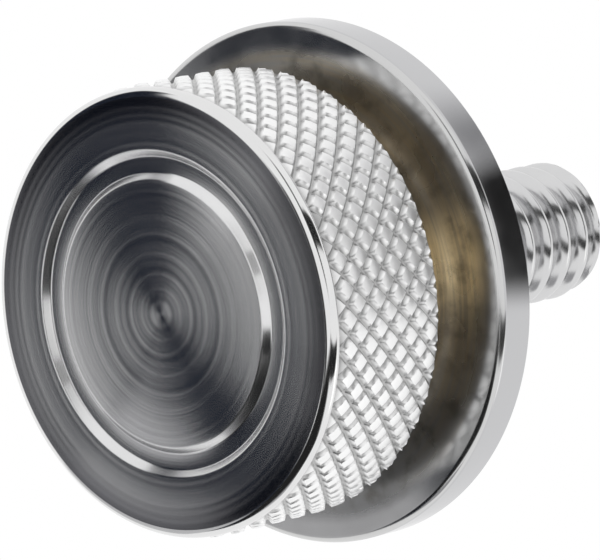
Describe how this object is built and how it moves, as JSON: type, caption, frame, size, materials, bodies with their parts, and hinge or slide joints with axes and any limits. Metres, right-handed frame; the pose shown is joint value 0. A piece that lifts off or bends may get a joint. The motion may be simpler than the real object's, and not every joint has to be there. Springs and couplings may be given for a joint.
{
  "type": "seat knob bolt",
  "caption": "Hand-tightened seat bolt: a round diamond-knurled head on a neck, a wide clamping flange and a threaded stud, chrome plated.",
  "frame": {"origin": "centre of the head's face, which the bolt stands on", "axes": "+Z along the bolt's axis, from the face of the head to the end of the stud; X and Y lie in the face"},
  "size_m": [0.0232, 0.0232, 0.0269],
  "materials": {
    "plating": "polished chrome plating over steel"
  },
  "bodies": {
    "root": {"seat_knob_bolt": "plating"}
  },
  "joints": []
}
